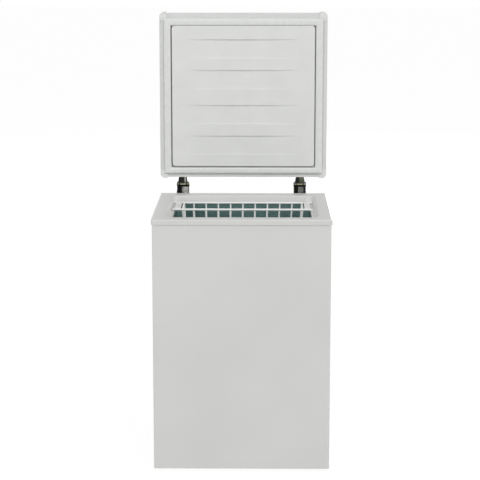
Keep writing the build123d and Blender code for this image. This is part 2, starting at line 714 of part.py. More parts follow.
def cord_gland():
    """Grommet in the vent cover for the supply cord."""
    z = FLOOR_Z + COVER_OVERLAP + GLAND_RISE
    y = REAR + COVER_SHEET
    neck = rod((GLAND_X, y - GLAND_LENGTH / 2, z), (GLAND_X, y, z), GLAND_RADIUS)
    rim = rod((GLAND_X, y, z), (GLAND_X, y + GLAND_LENGTH / 2, z), GLAND_RIM)
    rim = fillet(rim.edges().sort_by(Axis.Y)[-1], 2)
    return neck + rim - rod((GLAND_X, y - GLAND_LENGTH, z), (GLAND_X, y + GLAND_LENGTH, z), GLAND_BORE)


def lens_places():
    """Centres of the three pilot lamps, as (y, z)."""
    return [(LENS_Y, CONTROL_Z + i * LENS_PITCH) for i in (-1, 0, 1)]


def control_bezel():
    """Moulded tray set into the right side for the knob and the pilot lamps."""
    tray = control_outline(-SCREW_FIT, CONTROL_BACK, CABINET_HALF)
    tray += control_outline(CONTROL_RIM, CABINET_HALF, CABINET_HALF + CONTROL_WALL)
    tray -= control_outline(-CONTROL_WALL, CONTROL_FACE, CABINET_HALF + CONTROL_WALL + 1)
    holes = [(KNOB_Y, CONTROL_Z, SHAFT_RADIUS + SHAFT_FIT)]
    holes += [(y, z, LENS_RADIUS + SCREW_FIT) for y, z in lens_places()]
    for y, z, radius in holes:
        tray -= rod((CONTROL_BACK - 1, y, z), (CONTROL_FACE + 1, y, z), radius)
    return tray


def thermostat():
    """Switch body behind the tray, with the knob's shaft."""
    side = THERMOSTAT_SIZE / 2
    y, z = KNOB_Y, CONTROL_Z
    body = block(CONTROL_BACK - THERMOSTAT_SIZE, CONTROL_BACK, y - side, y + side, z - side, z + side)
    tip = CONTROL_FACE + KNOB_HEIGHT - CONTROL_WALL
    shaft = rod((CONTROL_BACK, y, z), (tip, y, z), SHAFT_RADIUS)
    return fillet(body.edges().filter_by(Axis.X), 3) + shaft


def thermostat_bulb_tube():
    """Sensing tube from the thermostat up into the foam."""
    x = CONTROL_BACK - THERMOSTAT_SIZE / 2
    return rod((x, KNOB_Y, CONTROL_Z + THERMOSTAT_SIZE / 2), (x, KNOB_Y, MACHINE_TOP), CAPILLARY_RADIUS)


def wiring_lead():
    """Sleeved lead from the relay to the thermostat, along the base."""
    start = COMPRESSOR_X + COMPRESSOR_LENGTH / 2 + COMPRESSOR_SEAM + RELAY_SIZE
    end = CONTROL_BACK - THERMOSTAT_SIZE
    y, z = COMPRESSOR_Y, CAN_Z + COMPRESSOR_HEIGHT / 2
    low = FLOOR_Z + LEAD_FLOOR
    x0, x1 = start + 2 * LEAD_BEND, end - 2 * LEAD_BEND
    points = [(start, y, z), (x0, y, z), (x0, y, low)]
    points += [(x1, KNOB_Y, low), (x1, KNOB_Y, CONTROL_Z), (end, KNOB_Y, CONTROL_Z)]
    return pipe(points, LEAD_RADIUS, LEAD_BEND)


def indicator_lenses():
    """Three domed pilot lamps."""
    lenses = []
    for y, z in lens_places():
        lens = rod((CONTROL_BACK, y, z), (CONTROL_FACE + LENS_HEIGHT, y, z), LENS_RADIUS)
        lenses.append(fillet(lens.edges().sort_by(Axis.X)[-1], LENS_HEIGHT * 0.8))
    return Compound(children=lenses)


def thermostat_knob():
    """Round knob with a grip bar across its face."""
    x0 = CONTROL_FACE + KNOB_GAP
    skirt_top = x0 + KNOB_HEIGHT / 3
    x1 = x0 + KNOB_HEIGHT
    disc = rod((x0, KNOB_Y, CONTROL_Z), (skirt_top, KNOB_Y, CONTROL_Z), KNOB_RADIUS)
    disc = fillet(disc.edges().sort_by(Axis.X)[-1], 1.5)
    reach = KNOB_RADIUS - 3
    grip = block(skirt_top, x1, KNOB_Y - 5, KNOB_Y + 5, CONTROL_Z - reach, CONTROL_Z + reach)
    knob = disc + fillet(grip.edges().filter_by(Axis.X), 3)
    shaft = CONTROL_FACE + KNOB_HEIGHT - CONTROL_WALL + KNOB_GAP
    return knob - rod((x0 - 1, KNOB_Y, CONTROL_Z), (shaft, KNOB_Y, CONTROL_Z), SHAFT_RADIUS + SHAFT_FIT)


def hinge_body(x):
    """Pressed channel on the rear panel, open to the front, with feet to each side."""
    half = HINGE_WIDTH / 2
    low, top = RIM_HEIGHT - HINGE_DROP, RIM_HEIGHT + LID_REAR_OVERHANG
    back = HINGE_WEB + HINGE_SHEET
    web_top = PIVOT_Z - SPRING_MEAN + SPRING_WIRE
    cheek = [(REAR, low), (REAR, top), (PIVOT_Y - HINGE_EYE, top), (PIVOT_Y - HINGE_EYE, PIVOT_Z)]
    cheek += [(PIVOT_Y + HINGE_EYE, PIVOT_Z), (back, web_top), (back, low)]
    channel = block(x - half, x + half, HINGE_WEB, back, low, web_top)
    for x0 in (x - half, x + half - HINGE_SHEET):
        ear = plate(cheek, x0, x0 + HINGE_SHEET)
        channel += ear + rod((x0, PIVOT_Y, PIVOT_Z), (x0 + HINGE_SHEET, PIVOT_Y, PIVOT_Z), HINGE_EYE)
    foot_top = RIM_HEIGHT - COLLAR_SKIRT / 2
    for x0 in (x - half - HINGE_FOOT, x + half):
        channel += block(x0, x0 + HINGE_FOOT, REAR, REAR + HINGE_SHEET, low, foot_top)
    bore = PIN_RADIUS + PIN_FIT / 4
    channel -= rod((x - half - 1, PIVOT_Y, PIVOT_Z), (x + half + 1, PIVOT_Y, PIVOT_Z), bore)
    for place in hinge_screw_places():
        channel -= screw_hole(place, (0, -1, 0))
    return channel


def hinge_pin(x):
    """Riveted pin through the hinge's cheeks."""
    half = HINGE_WIDTH / 2
    pin = rod((x - half, PIVOT_Y, PIVOT_Z), (x + half, PIVOT_Y, PIVOT_Z), PIN_RADIUS)
    for x0 in (x - half - PIN_HEAD_LENGTH, x + half):
        pin += rod((x0, PIVOT_Y, PIVOT_Z), (x0 + PIN_HEAD_LENGTH, PIVOT_Y, PIVOT_Z), PIN_HEAD)
    return pin


def hinge_spacers():
    """Bushes that keep the lid's arms in the middle of the hinge channels."""
    bushes = []
    for x in HINGE_PLACES:
        inner = ARM_WIDTH / 2 + SPACER_GAP
        outer = HINGE_WIDTH / 2 - HINGE_SHEET
        for x0, x1 in ((x - outer, x - inner), (x + inner, x + outer)):
            bush = rod((x0, PIVOT_Y, PIVOT_Z), (x1, PIVOT_Y, PIVOT_Z), SPACER_RADIUS)
            bore = PIN_RADIUS + PIN_FIT / 4
            bushes.append(bush - rod((x0 - 1, PIVOT_Y, PIVOT_Z), (x1 + 1, PIVOT_Y, PIVOT_Z), bore))
    return Compound(children=bushes)


def hinge_spring(x):
    """Close-wound balance spring on the pin, its turns as rings, with a leg on the channel."""
    first = x - SPRING_PITCH * (SPRING_TURNS - 1) / 2
    turns = []
    for turn in range(SPRING_TURNS):
        turns.append(Pos(first + turn * SPRING_PITCH, PIVOT_Y + SPRING_MEAN) * Circle(SPRING_WIRE / 2))
    section = Pos(0, 0, PIVOT_Z) * merge(turns)
    winding = revolve(section, Axis((0, PIVOT_Y, PIVOT_Z), (1, 0, 0)), 360)
    z = PIVOT_Z - SPRING_MEAN
    leg = rod((first, PIVOT_Y, z), (first, HINGE_WEB - SCREW_FIT, z), SPRING_WIRE / 2.2)
    return winding + leg


def spring_plates():
    """Plated stop plates riveted inside the hinge channels, below the springs."""
    plates = []
    right = HINGE_WIDTH / 2 - HINGE_SHEET - SCREW_FIT
    low, top = RIM_HEIGHT - HINGE_DROP / 2, PIVOT_Z - SPRING_PLATE_DROP
    for x in HINGE_PLACES:
        sheet = block(x - SPRING_PLATE_LEFT, x + right, HINGE_WEB - SPRING_PLATE_SHEET, HINGE_WEB, low, top)
        plates.append(fillet(sheet.edges().filter_by(Axis.Y), SPRING_PLATE_SHEET))
    return Compound(children=plates)


def hinge_arm(x):
    """Lid half of a hinge, drawn with the lid closed: tab, two cheeks and a flared web."""
    half = ARM_WIDTH / 2
    y0 = LID_REAR
    y1 = LID_REAR + HINGE_SHEET
    low = PIVOT_Z - ARM_WEB_BELOW - HINGE_SHEET
    high = PIVOT_Z + ARM_TAB_ABOVE
    arm = block(x - half, x + half, y0, y1, low, high)
    cheek = [(y0, low), (y0, PIVOT_Z + ARM_WEB_BELOW), (PIVOT_Y, PIVOT_Z + ARM_EYE)]
    cheek += [(PIVOT_Y, PIVOT_Z - ARM_EYE), (PIVOT_Y - ARM_EYE, low)]
    for x0 in (x - half, x + half - HINGE_SHEET):
        arm += plate(cheek, x0, x0 + HINGE_SHEET)
        arm += rod((x0, PIVOT_Y, PIVOT_Z), (x0 + HINGE_SHEET, PIVOT_Y, PIVOT_Z), ARM_EYE)
    flare = ARM_FLARE / 2
    end = PIVOT_Y - ARM_WEB_GAP
    outline = [(x - half, y0), (x + half, y0), (x + flare, end), (x - flare, end)]
    web = Plane.XY.offset(low) * make_face(Polyline(*outline, close=True))
    arm += extrude(web, HINGE_SHEET)
    arm -= rod((x - half - 1, PIVOT_Y, PIVOT_Z), (x + half + 1, PIVOT_Y, PIVOT_Z), PIN_RADIUS + PIN_FIT)
    for place in lid_screw_places():
        arm -= screw_hole(place, (0, -1, 0))
    return opened(arm)


def screws(places, turned):
    """A group of like screws, turned with the lid where they belong to it."""
    group = [screw(place, (0, -1, 0)) for place in places]
    return Compound(children=[opened(s) if turned else s for s in group])


def corner_notches(grow):
    """Blocks of the lid's four corners, which the plastic caps fill."""
    notches = []
    size = CAP_SIZE + grow
    for sx in (-1, 1):
        x0, x1 = sorted((sx * (LID_HALF - size), sx * (LID_HALF + 1)))
        for y0, y1 in ((LID_FRONT - 1, LID_FRONT + size), (LID_REAR - size, LID_REAR + 1)):
            notches.append(block(x0, x1, y0, y1, LID_FLANGE_Z - 1, LID_TOP_Z + 1))
    return notches


def lid_block(inset, z0, z1, edge):
    """The lid's outline drawn in by an inset, with its top edge rounded."""
    body = block(-LID_HALF + inset, LID_HALF - inset, LID_FRONT + inset, LID_REAR - inset, z0, z1)
    return fillet(body.faces().sort_by(Axis.Z)[-1].edges(), edge)


def lid_skin():
    """Steel pan with a flange turned in along its open side."""
    pan = lid_block(0, LID_FLANGE_Z, LID_TOP_Z, LID_EDGE)
    pan -= lid_block(SHEET, LINER_SEAT, LID_TOP_Z - SHEET, LID_EDGE - SHEET)
    half = LID_HALF - LID_FLANGE
    pan -= block(-half, half, LID_FRONT + LID_FLANGE, LID_REAR - LID_FLANGE, LID_FLANGE_Z - 1, LINER_SEAT)
    for cut in corner_notches(0) + [screw_hole(p, (0, -1, 0)) for p in lid_screw_places()]:
        pan -= cut
    return opened(pan)


def field_block(grow, z0, z1):
    """The raised field of the lid's liner, grown by a margin."""
    half = LID_HALF - FIELD_SIDE + grow
    corner = FIELD_CORNER + grow
    y0, y1 = LID_FRONT + FIELD_FRONT - grow, LID_REAR - FIELD_REAR + grow
    return upright(half, y0, y1, z0, z1, corner, corner)


def lid_liner():
    """Formed plastic plate: flange under the pan's edge, trough, raised field and four scoops."""
    top = LINER_SEAT + LID_LINER_SHEET
    inset = SHEET + SCREW_FIT
    sheet = block(-LID_HALF + inset, LID_HALF - inset, LID_FRONT + inset, LID_REAR - inset, LINER_SEAT, top)
    for cut in corner_notches(0):
        sheet -= cut
    sheet += field_block(TROUGH_WIDTH + LID_LINER_SHEET, LINER_SEAT, LINER_CREST)
    sheet -= field_block(TROUGH_WIDTH, LINER_SEAT - 1, LINER_SEAT + TROUGH_DEPTH)
    field = field_block(0, FIELD_Z, LINER_CREST)
    sheet += fillet(field.faces().sort_by(Axis.Z)[0].edges(), FIELD_EDGE)
    sheet -= field_block(-LID_LINER_SHEET, FIELD_Z + FIELD_BACK, LINER_CREST + 1)
    radius = (SCOOP_CHORD ** 2 / 4 + SCOOP_DEPTH ** 2) / (2 * SCOOP_DEPTH)
    for part in SCOOP_PARTS:
        y0 = LID_FRONT + part * LID_LENGTH - SCOOP_LENGTH / 2
        z = FIELD_Z + SCOOP_DEPTH - radius
        roll = rod((0, y0, z), (0, y0 + SCOOP_LENGTH, z), radius)
        crown = FIELD_Z + 2 * SCOOP_DEPTH
        band = block(-SCOOP_CHORD, SCOOP_CHORD, y0, y0 + SCOOP_LENGTH, FIELD_Z - 1, crown)
        sheet -= roll & band
    return opened(sheet)


def lid_foam():
    """Insulation between the pan and the liner."""
    base = LINER_SEAT + LID_LINER_SHEET
    foam = lid_block(SHEET, base, LID_TOP_Z - SHEET, LID_EDGE)
    foam -= field_block(TROUGH_WIDTH + LID_LINER_SHEET, base - 1, LINER_CREST)
    foam += field_block(-LID_LINER_SHEET, FIELD_Z + FIELD_BACK, LINER_CREST)
    for cut in corner_notches(0) + [screw_hole(p, (0, -1, 0)) for p in lid_screw_places()]:
        foam -= cut
    return opened(foam)


def gasket_block(inset, z0, z1):
    """Block of the gasket's outline, drawn in by an inset."""
    half = LID_HALF - GASKET_SIDE - inset
    return block(-half, half, LID_FRONT + GASKET_FRONT + inset, LID_REAR - GASKET_REAR - inset, z0, z1)


def lid_gasket():
    """Mitred sealing frame on the liner's flange."""
    low = LINER_SEAT - GASKET_HEIGHT
    neck = LINER_SEAT - GASKET_NECK_HEIGHT
    bulb = gasket_block(0, low, neck) - gasket_block(GASKET_WIDTH, low - 1, neck + 1)
    bulb = fillet(bulb.faces().sort_by(Axis.Z)[0].edges(), GASKET_EDGE)
    root = gasket_block(GASKET_NECK, neck, LINER_SEAT)
    return opened(bulb + root - gasket_block(GASKET_WIDTH - GASKET_NECK, neck, LINER_SEAT + 1))


def lid_corner_caps():
    """Four plastic corners let into the lid, a little proud of its front and rear edges."""
    caps = []
    seal = gasket_block(0, LINER_SEAT - GASKET_HEIGHT, LINER_SEAT)
    for sx in (-1, 1):
        x0, x1 = sorted((sx * (LID_HALF - CAP_SIZE), sx * LID_HALF))
        for sy in (-1, 1):
            edge = LID_FRONT if sy < 0 else LID_REAR
            y0, y1 = sorted((edge - sy * CAP_SIZE, edge + sy * CAP_PROUD))
            cap = block(x0, x1, y0, y1, LID_FLANGE_Z - CAP_DROP, LID_TOP_Z)
            upright_edges = cap.edges().filter_by(Axis.Z)
            corner = upright_edges.sort_by(lambda e: sx * e.center().X + sy * e.center().Y)[-1]
            cap = fillet(corner, CAP_CORNER)
            outer = cap.faces().sort_by(Axis.Z)[-1].edges()
            rim = outer.filter_by(lambda e: sx * e.center().X > LID_HALF - CAP_SIZE * 0.9 and
                                  sy * (e.center().Y - edge) > -CAP_SIZE * 0.9)
            caps.append(opened(fillet(rim, LID_EDGE) - seal))
    return Compound(children=caps)


def basket_frame():
    """Two thick bars across the mouth, joined by the side wires."""
    bars = []
    for y in (BASKET_MIN, BASKET_MAX):
        bars.append(rod((-FRAME_HALF, y, FRAME_Z), (FRAME_HALF, y, FRAME_Z), FRAME_WIRE))
    for x in (-BASKET_HALF, BASKET_HALF):
        bars.append(rod((x, BASKET_MIN, FRAME_Z), (x, BASKET_MAX, FRAME_Z), SIDE_WIRE))
    return merge(bars)


def long_grille(front, frame):
    """Front or rear wall of the basket: upright wires and hoops."""
    sign = 1 if front else -1
    top_y = BASKET_MIN if front else BASKET_MAX
    low_y = top_y + sign * BASKET_TAPER
    shrink = (BASKET_HALF - BASKET_TAPER) / BASKET_HALF
    pitch = WIRE_PITCH * (FRONT_NARROWING if front else 1)
    count = int((BASKET_HALF - WIRE_PITCH / 2) / pitch)
    tops = [k * pitch for k in range(-count, count + 1)]
    tops += [-BASKET_HALF, BASKET_HALF]
    wires = [rod((x, top_y, FRAME_Z), (x * shrink, low_y, BASKET_LOW), GRILLE_WIRE) for x in tops]
    for hoop in range(1, HOOPS + 1):
        part = hoop / HOOPS
        z = FRAME_Z - part * BASKET_HEIGHT + GRILLE_WIRE
        y = top_y + sign * (part * BASKET_TAPER + GRILLE_WIRE + CROSS_WIRE - WELD_SINK)
        reach = BASKET_HALF - part * BASKET_TAPER
        wires.append(rod((-reach, y, z), (reach, y, z), CROSS_WIRE))
    return merge(wires) - frame


def side_grille(right, frame, walls):
    """Left or right wall of the basket, between the long walls."""
    sign = 1 if right else -1
    span = BASKET_MAX - BASKET_MIN
    wires = []
    for k in range(1, SIDE_WIRES + 1):
        y = BASKET_MIN + span * k / (SIDE_WIRES + 1)
        foot = (sign * (BASKET_HALF - BASKET_TAPER), y, BASKET_LOW)
        wires.append(rod((sign * BASKET_HALF, y, FRAME_Z), foot, GRILLE_WIRE))
    for hoop in range(1, HOOPS + 1):
        part = hoop / HOOPS
        z = FRAME_Z - part * BASKET_HEIGHT + GRILLE_WIRE
        x = sign * (BASKET_HALF - part * BASKET_TAPER - GRILLE_WIRE - CROSS_WIRE + WELD_SINK)
        inset = part * BASKET_TAPER + GRILLE_WIRE + 2 * CROSS_WIRE - 2 * WELD_SINK
        y0, y1 = BASKET_MIN + inset, BASKET_MAX - inset
        wires.append(rod((x, y0, z), (x, y1, z), CROSS_WIRE))
    return merge(wires) - frame - walls[0] - walls[1]


def basket_floor(walls):
    """Bottom of the basket: wires from front to rear on cross wires."""
    z = BASKET_LOW - GRILLE_WIRE
    shrink = (BASKET_HALF - BASKET_TAPER) / BASKET_HALF
    y0, y1 = BASKET_MIN + BASKET_TAPER, BASKET_MAX - BASKET_TAPER
    count = int(BASKET_HALF / WIRE_PITCH)
    places = [k * WIRE_PITCH * shrink for k in range(-count, count + 1)]
    wires = [rod((x, y0 - 2, z), (x, y1 + 2, z), GRILLE_WIRE) for x in places]
    reach = BASKET_HALF - BASKET_TAPER + 2
    cross_z = z - GRILLE_WIRE - CROSS_WIRE + WELD_SINK
    for k in range(5):
        y = y0 + (y1 - y0) * k / 4
        wires.append(rod((-reach, y, cross_z), (reach, y, cross_z), CROSS_WIRE))
    floor = merge(wires)
    for wall in walls:
        floor -= wall
    return floor


def basket_grip(right):
    """White moulded strip along one end of the basket, with a finger slot."""
    sign = 1 if right else -1
    inner = BASKET_HALF + SIDE_WIRE + GRIP_SIDE_GAP
    x0, x1 = sorted((sign * inner, sign * (inner + GRIP_WIDTH)))
    end = FRAME_WIRE + GRIP_FIT
    y0, y1 = BASKET_MIN + end, BASKET_MAX - end
    strip = block(x0, x1, y0, y1, FRAME_Z - GRIP_HEIGHT / 2, FRAME_Z + GRIP_HEIGHT / 2)
    strip = fillet(strip.faces().sort_by(Axis.Z)[-1].edges(), 1.5)
    middle = (y0 + y1) / 2
    slot = Pos((x0 + x1) / 2, middle) * SlotOverall(BASKET_LENGTH / 2, GRIP_WIDTH / 3, rotation=90)
    return strip - extrude(Pos(0, 0, FRAME_Z + GRIP_HEIGHT / 4) * slot, GRIP_HEIGHT)


os.makedirs("parts", exist_ok=True)
can = compressor()
frame = basket_frame()
long_walls = [long_grille(True, frame), long_grille(False, frame)]
side_walls = [side_grille(right, frame, long_walls) for right in (False, True)]
nodes = {
    "cabinet_shell": cabinet_shell(),
    "rear_panel": rear_panel(),
    "base_plate": base_plate(),
    "machine_bulkhead": machine_bulkhead(),
    "cabinet_foam": cabinet_foam(),
    "inner_liner": inner_liner(),
    "top_collar": top_collar(),
    "evaporator_coil": evaporator_coil(),
    "condenser_coil": condenser_coil(),
    "drain_tube": drain_tube(),
    "drain_plug": drain_plug(),
    "feet": feet(),
    "compressor": can,
    "compressor_plate": compressor_plate(),
    "compressor_grommets": compressor_grommets(),
    "compressor_bolts": compressor_bolts(),
    "relay_box": relay_box(can),
    "filter_drier": filter_drier(),
    "discharge_line": discharge_line(can),
    "condenser_return_line": condenser_return_line(),
    "capillary_tube": capillary_tube(),
    "suction_line": suction_line(can),
    "rear_vent_cover": rear_vent_cover(),
    "vent_cover_screws": screws(cover_screw_places(), False),
    "cord_gland": cord_gland(),
    "control_bezel": control_bezel(),
    "thermostat": thermostat(),
    "thermostat_bulb_tube": thermostat_bulb_tube(),
    "wiring_lead": wiring_lead(),
    "indicator_lenses": indicator_lenses(),
    "thermostat_knob": thermostat_knob(),
    "hinge_spacers": hinge_spacers(),
    "hinge_spring_plates": spring_plates(),
    "hinge_cabinet_screws": screws(hinge_screw_places(), False),
    "hinge_lid_screws": screws(lid_screw_places(), True),
    "lid_skin": lid_skin(),
    "lid_foam": lid_foam(),
    "lid_liner": lid_liner(),
    "lid_gasket": lid_gasket(),
    "lid_corner_caps": lid_corner_caps(),
    "basket_frame": frame,
    "basket_front": long_walls[0],
    "basket_rear": long_walls[1],
    "basket_left": side_walls[0],
    "basket_right": side_walls[1],
    "basket_floor": basket_floor(long_walls + side_walls),
    "basket_grip_left": basket_grip(False),
    "basket_grip_right": basket_grip(True),
}
for side, x in zip(("left", "right"), HINGE_PLACES):
    nodes[f"hinge_body_{side}"] = hinge_body(x)
    nodes[f"hinge_pin_{side}"] = hinge_pin(x)
    nodes[f"hinge_spring_{side}"] = hinge_spring(x)
    nodes[f"hinge_arm_{side}"] = hinge_arm(x)
for name, body in nodes.items():
    export_step(body, f"parts/{name}.step")
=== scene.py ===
import math

import bmesh
import bpy
from mathutils import Matrix, Vector


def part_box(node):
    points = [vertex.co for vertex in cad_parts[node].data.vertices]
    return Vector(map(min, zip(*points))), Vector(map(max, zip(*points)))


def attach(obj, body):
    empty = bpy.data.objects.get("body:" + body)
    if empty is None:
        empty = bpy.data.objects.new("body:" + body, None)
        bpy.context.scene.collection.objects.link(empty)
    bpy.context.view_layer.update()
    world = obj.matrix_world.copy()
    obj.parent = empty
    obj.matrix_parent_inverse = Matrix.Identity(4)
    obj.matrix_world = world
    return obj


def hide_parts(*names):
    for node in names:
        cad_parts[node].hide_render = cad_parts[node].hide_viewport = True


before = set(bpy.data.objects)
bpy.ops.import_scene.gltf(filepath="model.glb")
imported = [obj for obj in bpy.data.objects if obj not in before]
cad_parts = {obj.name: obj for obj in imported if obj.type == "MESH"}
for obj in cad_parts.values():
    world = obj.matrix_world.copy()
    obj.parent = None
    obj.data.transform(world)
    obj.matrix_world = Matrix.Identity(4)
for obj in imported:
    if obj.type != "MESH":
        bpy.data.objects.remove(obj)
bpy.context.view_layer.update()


# Painted sheet metal: the wrap of front and sides, the back panel, the louvred cover behind the
# compressor and the lid's pan. It is steel sheet, coated with white polyester paint in the coil,
# then cut and bent.
def linear(code):
    """Linear colour from an sRGB hex value."""
    parts = [int(code[i:i + 2], 16) / 255 for i in (1, 3, 5)]
    return [c / 12.92 if c <= 0.04045 else ((c + 0.055) / 1.055) ** 2.4 for c in parts] + [1.0]


def add_node(tree, kind, links=None, **settings):
    """One shader node: settings are its attributes, links its sockets' values or sources."""
    node = tree.nodes.new(kind)
    for name, value in settings.items():
        setattr(node, name, value)
    for socket, value in (links or {}).items():
        if isinstance(value, bpy.types.NodeSocket):
            tree.links.new(value, node.inputs[socket])
        else:
            node.inputs[socket].default_value = value
    return node


def new_finish(name, **values):
    """A material with its node tree, its shader and the object's own coordinates."""
    material = bpy.data.materials.new(name)
    material.use_nodes = True
    tree = material.node_tree
    shader = tree.nodes["Principled BSDF"]
    for socket, value in values.items():
        shader.inputs[socket.replace("_", " ")].default_value = value
    place = add_node(tree, "ShaderNodeTexCoord").outputs["Object"]
    return material, tree, shader, place


def dress(material, *names):
    """Gives CAD nodes their finish."""
    for name in names:
        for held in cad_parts[name].material_slots:
            held.material = material


# The paint shows a faint orange peel, drawn at 4 mm so that it shows, and a slow drift of tone.
peel_size = 0.004
drift_width = 0.333
white_enamel, tree, shader, place = new_finish("white_coil_coated_steel", IOR=1.5)
drift = add_node(
    tree, "ShaderNodeTexNoise", {"Vector": place, "Scale": 1 / drift_width, "Detail": 2.0}
)
tone = add_node(tree, "ShaderNodeValToRGB", {"Fac": drift.outputs["Fac"]})
tone.color_ramp.elements[0].position = 0.35
tone.color_ramp.elements[0].color = linear("#d0d1cf")
tone.color_ramp.elements[1].position = 0.65
tone.color_ramp.elements[1].color = linear("#d4d4d2")
peel = add_node(tree, "ShaderNodeTexNoise", {"Vector": place, "Scale": 1 / peel_size, "Detail": 1.0})
gloss = add_node(
    tree, "ShaderNodeMapRange", {"Value": peel.outputs["Fac"], "To Min": 0.33, "To Max": 0.43}
)
bump = add_node(
    tree, "ShaderNodeBump", {"Height": peel.outputs["Fac"], "Strength": 0.08, "Distance": 0.0004}
)
tree.links.new(tone.outputs["Color"], shader.inputs["Base Color"])
tree.links.new(gloss.outputs["Result"], shader.inputs["Roughness"])
tree.links.new(bump.outputs["Normal"], shader.inputs["Normal"])
dress(white_enamel, "cabinet_shell", "rear_panel", "rear_vent_cover", "lid_skin")


# Floor sheet, bulkhead and compressor foot: bare galvanised steel, bent and left unpainted.
# The zinc has set in spangles about 8 mm across, each a little lighter or darker.
spangle_width = 0.00833
galvanised, tree, shader, place = new_finish("galvanised_steel", Metallic=1.0, Roughness=0.42)
spangle = add_node(tree, "ShaderNodeTexVoronoi", {"Vector": place, "Scale": 1 / spangle_width})
grey = add_node(tree, "ShaderNodeValToRGB", {"Fac": spangle.outputs["Color"]})
grey.color_ramp.elements[0].color = linear("#a2a7a9")
grey.color_ramp.elements[1].color = linear("#c4c8c9")
tree.links.new(grey.outputs["Color"], shader.inputs["Base Color"])
dress(galvanised, "base_plate", "machine_bulkhead", "compressor_plate")


# Feet, compressor mounts, cord gland and the control's lead: black moulded rubber or soft PVC.
# It is dull, with a dusty bloom in patches about 2 cm wide.
bloom_width = 0.0222
black_rubber, tree, shader, place = new_finish("black_rubber", Roughness=0.75, IOR=1.52)
bloom = add_node(
    tree, "ShaderNodeTexNoise", {"Vector": place, "Scale": 1 / bloom_width, "Detail": 4.0}
)
dust = add_node(tree, "ShaderNodeValToRGB", {"Fac": bloom.outputs["Fac"]})
dust.color_ramp.elements[0].color = linear("#161616")
dust.color_ramp.elements[1].color = linear("#2b2b2a")
tree.links.new(dust.outputs["Color"], shader.inputs["Base Color"])
dress(black_rubber, "feet", "compressor_grommets", "cord_gland", "wiring_lead")


# Insulation of the cabinet and the lid: rigid polyurethane foam, poured in and set in place.
# It is cream, with closed cells that would be under a millimetre and are drawn at 3 mm.
cell_size = 0.00303
foam, tree, shader, place = new_finish("rigid_foam", Roughness=0.95, IOR=1.4)
cells = add_node(tree, "ShaderNodeTexVoronoi", {"Vector": place, "Scale": 1 / cell_size})
cream = add_node(tree, "ShaderNodeValToRGB", {"Fac": cells.outputs["Distance"]})
cream.color_ramp.elements[0].color = linear("#c9b682")
cream.color_ramp.elements[1].color = linear("#ecdfb4")
bump = add_node(
    tree, "ShaderNodeBump",
    {"Height": cells.outputs["Distance"], "Strength": 0.5, "Distance": 0.001},
)
tree.links.new(cream.outputs["Color"], shader.inputs["Base Color"])
tree.links.new(bump.outputs["Normal"], shader.inputs["Normal"])
dress(foam, "cabinet_foam", "lid_foam")


# Inner tub: thin aluminium sheet, rolled with a stucco pattern and folded over the step.
# The pattern's dimples are about 6 mm apart, and the sheet is coloured a dark blue-green that
# paints in the shade inside the deep tub.
dimple_pitch = 0.00625
stucco, tree, shader, place = new_finish("stucco_aluminium", Metallic=0.55, Roughness=0.5)
dimple = add_node(
    tree, "ShaderNodeTexVoronoi", {"Vector": place, "Scale": 1 / dimple_pitch}, feature="SMOOTH_F1"
)
# Painted shade: the sheet's colour is darkened to the tub's shaded tone.
shaded_tone = add_node(tree, "ShaderNodeValToRGB", {"Fac": dimple.outputs["Distance"]})
shaded_tone.color_ramp.elements[0].color = linear("#587775")
shaded_tone.color_ramp.elements[1].color = linear("#73918e")
bump = add_node(
    tree, "ShaderNodeBump",
    {"Height": dimple.outputs["Distance"], "Strength": 0.35, "Distance": 0.002},
)
tree.links.new(shaded_tone.outputs["Color"], shader.inputs["Base Color"])
tree.links.new(bump.outputs["Normal"], shader.inputs["Normal"])
dress(stucco, "inner_liner")


# Refrigerant circuit: the two coils, the drier, the pipes of the compressor space and the
# thermostat's sensing tube. It is soft copper, bent by hand and browned in patches by the torch.
tarnish_width = 0.0333
copper, tree, shader, place = new_finish("copper_tube", Metallic=1.0, Roughness=0.36)
tarnish = add_node(
    tree, "ShaderNodeTexNoise", {"Vector": place, "Scale": 1 / tarnish_width, "Detail": 5.0}
)
brown = add_node(tree, "ShaderNodeValToRGB", {"Fac": tarnish.outputs["Fac"]})
brown.color_ramp.elements[0].position = 0.3
brown.color_ramp.elements[0].color = linear("#8a5236")
brown.color_ramp.elements[1].position = 0.7
brown.color_ramp.elements[1].color = linear("#d08a62")
tree.links.new(brown.outputs["Color"], shader.inputs["Base Color"])
dress(
    copper, "evaporator_coil", "condenser_coil", "filter_drier", "discharge_line",
    "condenser_return_line", "capillary_tube", "suction_line", "thermostat_bulb_tube",
)


# Drain pipe through the foam, the plug that shuts it and the control's knob: grey plastic,
# injection moulded. The skin is matt, with a grain just under 2 mm.
skin_grain = 0.00167
grey_plastic, tree, shader, place = new_finish("grey_moulded_plastic", Roughness=0.5, IOR=1.5)
skin = add_node(tree, "ShaderNodeTexNoise", {"Vector": place, "Scale": 1 / skin_grain, "Detail": 2.0})
shade = add_node(tree, "ShaderNodeValToRGB", {"Fac": skin.outputs["Fac"]})
shade.color_ramp.elements[0].color = linear("#8d9092")
shade.color_ramp.elements[1].color = linear("#a3a6a7")
bump = add_node(
    tree, "ShaderNodeBump", {"Height": skin.outputs["Fac"], "Strength": 0.15, "Distance": 0.0003}
)
tree.links.new(shade.outputs["Color"], shader.inputs["Base Color"])
tree.links.new(bump.outputs["Normal"], shader.inputs["Normal"])
dress(grey_plastic, "drain_tube", "drain_plug", "thermostat_knob")


